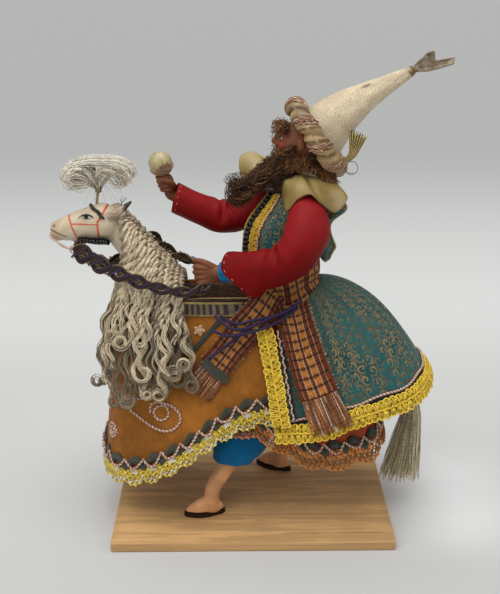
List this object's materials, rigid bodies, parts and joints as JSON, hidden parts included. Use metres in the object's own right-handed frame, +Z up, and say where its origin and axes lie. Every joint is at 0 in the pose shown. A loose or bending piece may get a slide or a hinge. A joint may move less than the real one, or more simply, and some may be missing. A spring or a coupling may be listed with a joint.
{
  "type": "hobby-horse rider doll",
  "caption": "Standing folk costume doll on a wooden board: a bearded rider in a tall pointed hat who wears a hobby horse with mane, plume, cover and tail.",
  "frame": {"origin": "centre of the base board's underside", "axes": "+Z up, -X the way the horse looks, -Y the rider's left side, which faces the viewer"},
  "size_m": [0.2284, 0.114, 0.2771],
  "materials": {
    "pale_wood": "planed, waxed",
    "nail_steel": "plain",
    "dark_sole": "dyed dark",
    "boot_leather": "smooth",
    "blue_cloth": "plain weave",
    "wound_padding": "wound strips",
    "teal_brocade": "brocade",
    "yellow_braid": "gathered braid",
    "black_braid": "braided cord",
    "cream_leather": "soft, creased",
    "red_leather": "matte",
    "painted_skin": "painted",
    "plaid_weave": "hand-woven check",
    "purple_cord": "twisted cord",
    "brown_hair": "curled mohair",
    "hat_leather": "speckled",
    "roll_cloth": "pleated satin",
    "gold_fringe": "gilt fringe",
    "ivory_paint": "pearl paint",
    "copper_thread": "metal-wrapped thread",
    "horse_paint": "painted, worn",
    "silk_floss": "floss strands",
    "grey_floss": "floss strands",
    "rust_felt": "suede-like felt",
    "brown_leather": "suede",
    "orange_lace": "openwork lace",
    "striped_ribbon": "striped ribbon",
    "rein_braid": "looped braid",
    "rim_card": "cloth-covered"
  },
  "bodies": {
    "doll": {"base_board": "pale_wood", "bit_cord": "copper_thread", "body_board": "pale_wood", "chest_cord": "black_braid", "coat_bodice": "teal_brocade", "coat_skirt": "teal_brocade", "front_cover": "rust_felt", "front_lace": "yellow_braid", "front_sash_end": "plaid_weave", "horse_head": "horse_paint", "left_arm": "wound_padding", "left_boot": "boot_leather", "left_chest_braid": "yellow_braid", "left_collar": "cream_leather", "left_cuff": "blue_cloth", "left_foot_peg": "nail_steel", "left_front_braid": "yellow_braid", "left_hand": "painted_skin", "left_hanging_sleeve": "teal_brocade", "left_mane": "silk_floss", "left_rein": "rein_braid", "left_sleeve": "red_leather", "left_sole": "dark_sole", "left_trouser": "blue_cloth", "rear_cover": "brown_leather", "rear_lace": "orange_lace", "right_boot": "boot_leather", "right_chest_braid": "yellow_braid", "right_collar": "cream_leather", "right_foot_peg": "nail_steel", "right_front_braid": "yellow_braid", "right_mane": "silk_floss", "right_rein": "rein_braid", "right_sole": "dark_sole", "right_trouser": "blue_cloth", "rim_band": "rim_card", "rim_ribbon": "striped_ribbon", "sash_wrap": "plaid_weave", "shoulder_rod": "nail_steel", "side_sash_end": "plaid_weave", "skirt_hem_braid": "yellow_braid", "tail_root": "grey_floss", "throat_strap": "black_braid", "torso_core": "wound_padding", "waist_cord": "purple_cord"},
    "head": {"head": "painted_skin", "beard": "brown_hair", "hair": "brown_hair", "hat_roll": "roll_cloth", "hat_cone": "hat_leather", "hat_ribbon": "hat_leather", "hat_tassel": "gold_fringe"},
    "right_arm": {"right_sleeve": "red_leather", "right_arm": "wound_padding", "right_hand": "painted_skin"},
    "mace": {"mace": "ivory_paint", "mace_collar": "copper_thread"},
    "plume": {"plume": "silk_floss", "plume_stem": "gold_fringe"},
    "tail": {"tail": "grey_floss"}
  },
  "joints": [
    {"name": "head_turn", "type": "hinge", "parent": "doll", "child": "head", "pos_m": [0.026, 0, 0.2229], "axis": [0, 0, 1], "range_deg": [-8, 15]},
    {"name": "right_arm_swing", "type": "hinge", "parent": "doll", "child": "right_arm", "pos_m": [0.01126, 0.02411, 0.194], "axis": [-0.3746, 0.9272, 0], "range_deg": [-30, 30]},
    {"name": "mace_twist", "type": "hinge", "parent": "right_arm", "child": "mace", "pos_m": [-0.05149, 0.02501, 0.20381], "axis": [-0.27, 0, 0.9629], "continuous": true},
    {"name": "plume_twist", "type": "hinge", "parent": "doll", "child": "plume", "pos_m": [-0.089, 0, 0.2048], "axis": [0, 0, 1], "range_deg": [-90, 90]},
    {"name": "tail_swing", "type": "hinge", "parent": "doll", "child": "tail", "pos_m": [0.09604, -0.003, 0.0793], "axis": [0, 1, 0], "range_deg": [-25, 10]}
  ]
}
